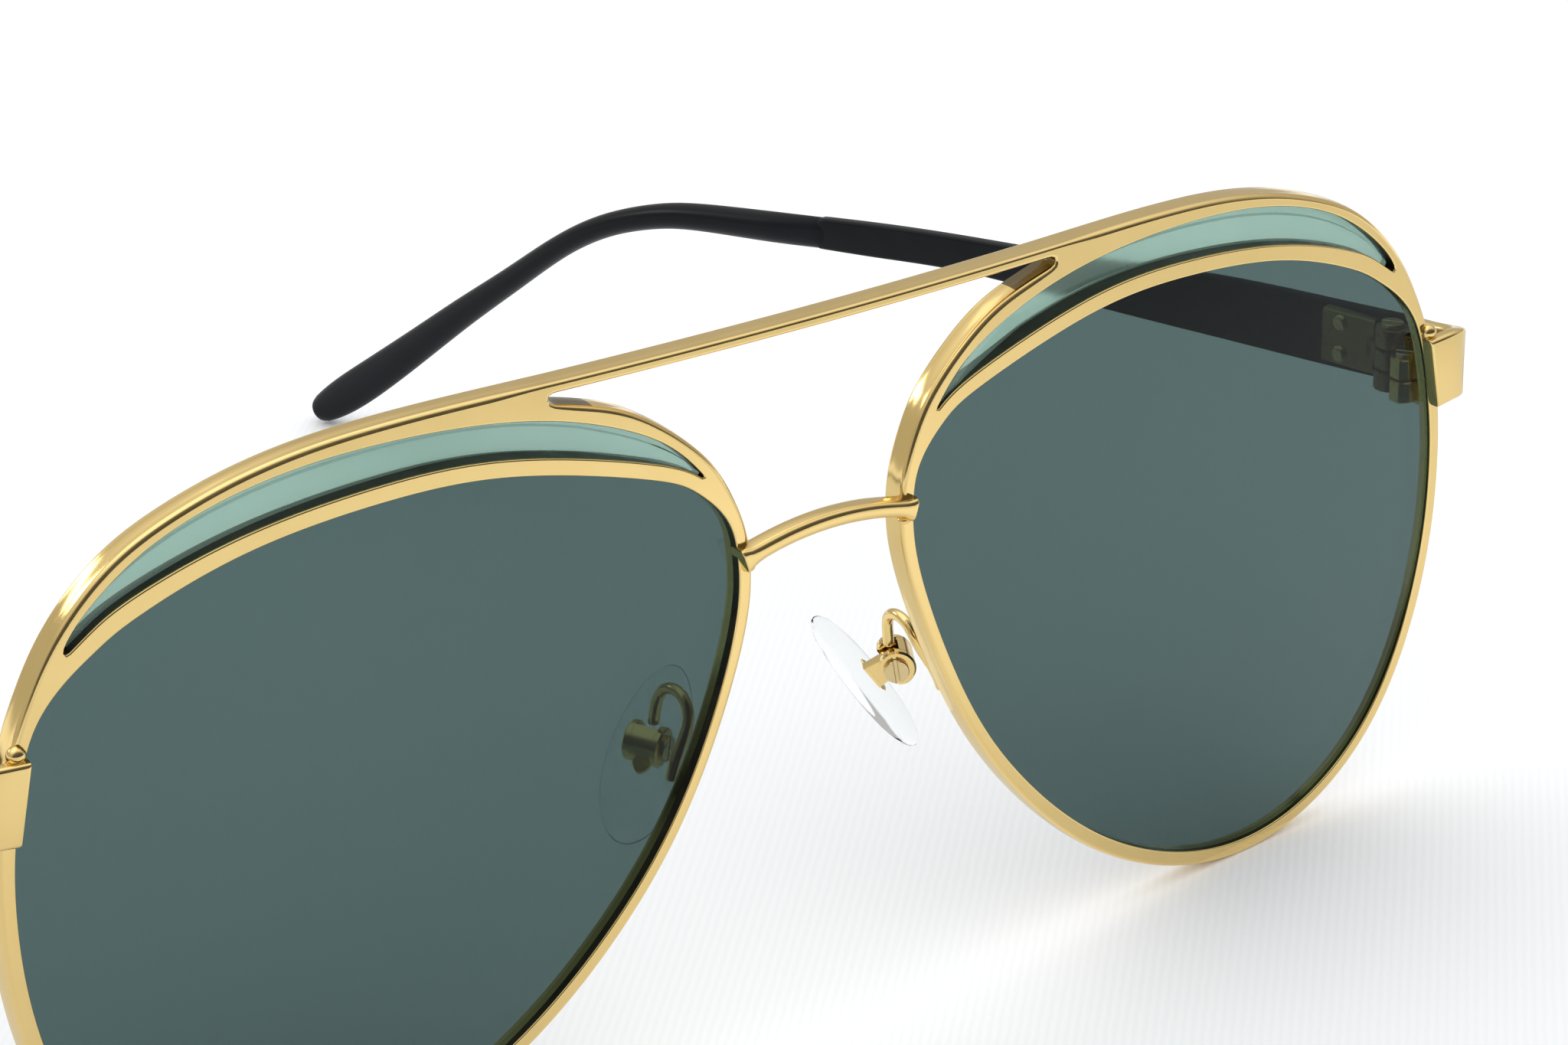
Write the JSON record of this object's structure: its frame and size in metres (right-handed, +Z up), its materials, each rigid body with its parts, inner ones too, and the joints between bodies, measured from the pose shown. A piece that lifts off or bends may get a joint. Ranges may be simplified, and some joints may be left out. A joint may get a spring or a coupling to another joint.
{
  "type": "aviator sunglasses",
  "caption": "Metal aviator sunglasses with large teardrop lenses, a crescent brow lens over each eye, a straight top bar, an arched bridge, adjustable nose pads and folding temples.",
  "frame": {"origin": "centre of the bounding box at its base, where the lower rims and the temple tips rest on a table", "axes": "+X to the right of someone facing the front, +Y back along the temples, +Z up"},
  "size_m": [0.1392, 0.1447, 0.0596],
  "materials": {
    "gold_metal": "polished pale gold plating",
    "screw_steel": "gold-washed screw heads",
    "grey_green_lens": "tinted transparent, smooth",
    "mint_lens": "pale mint translucent, smooth",
    "dark_enamel": "gloss blue-black enamel",
    "dark_acetate": "polished blue-black acetate",
    "clear_silicone": "clear soft silicone"
  },
  "bodies": {
    "front": {"brow_frame": "gold_metal", "bridge": "gold_metal", "right_rim": "gold_metal", "right_lens": "grey_green_lens", "right_crescent_lens": "mint_lens", "right_end_piece": "gold_metal", "right_rim_lock_lower": "gold_metal", "right_rim_lock_upper": "gold_metal", "right_rim_lock_screw": "screw_steel", "right_pad_arm": "gold_metal", "right_solder_bead": "gold_metal", "right_front_hinge": "gold_metal", "right_hinge_screw": "screw_steel", "right_pad_box": "gold_metal", "right_pad_screw": "screw_steel", "left_rim": "gold_metal", "left_lens": "grey_green_lens", "left_crescent_lens": "mint_lens", "left_end_piece": "gold_metal", "left_rim_lock_lower": "gold_metal", "left_rim_lock_upper": "gold_metal", "left_rim_lock_screw": "screw_steel", "left_pad_arm": "gold_metal", "left_solder_bead": "gold_metal", "left_front_hinge": "gold_metal", "left_hinge_screw": "screw_steel", "left_pad_box": "gold_metal", "left_pad_screw": "screw_steel"},
    "right_temple": {"right_temple_hinge": "gold_metal", "right_temple_arm": "dark_enamel", "right_temple_tip": "dark_acetate", "right_rivet_upper": "screw_steel", "right_rivet_lower": "screw_steel"},
    "right_pad": {"right_nose_pad": "clear_silicone", "right_pad_insert": "gold_metal"},
    "left_temple": {"left_temple_hinge": "gold_metal", "left_temple_arm": "dark_enamel", "left_temple_tip": "dark_acetate", "left_rivet_upper": "screw_steel", "left_rivet_lower": "screw_steel"},
    "left_pad": {"left_nose_pad": "clear_silicone", "left_pad_insert": "gold_metal"}
  },
  "joints": [
    {"name": "right_temple_fold", "type": "hinge", "parent": "front", "child": "right_temple", "pos_m": [0.0662, -0.05914, 0.03722], "axis": [0, -0.0372, 0.9993], "range_deg": [0, 70]},
    {"name": "left_temple_fold", "type": "hinge", "parent": "front", "child": "left_temple", "pos_m": [-0.0662, -0.05914, 0.03722], "axis": [0, 0.0372, -0.9993], "range_deg": [0, 76]},
    {"name": "right_pad_tilt", "type": "hinge", "parent": "front", "child": "right_pad", "pos_m": [0.01175, -0.06308, 0.02596], "axis": [0.4961, 0.8612, 0.1107], "range_deg": [-8, 8]},
    {"name": "left_pad_tilt", "type": "hinge", "parent": "front", "child": "left_pad", "pos_m": [-0.01175, -0.06308, 0.02596], "axis": [-0.4961, 0.8612, 0.1107], "range_deg": [-8, 8]}
  ]
}
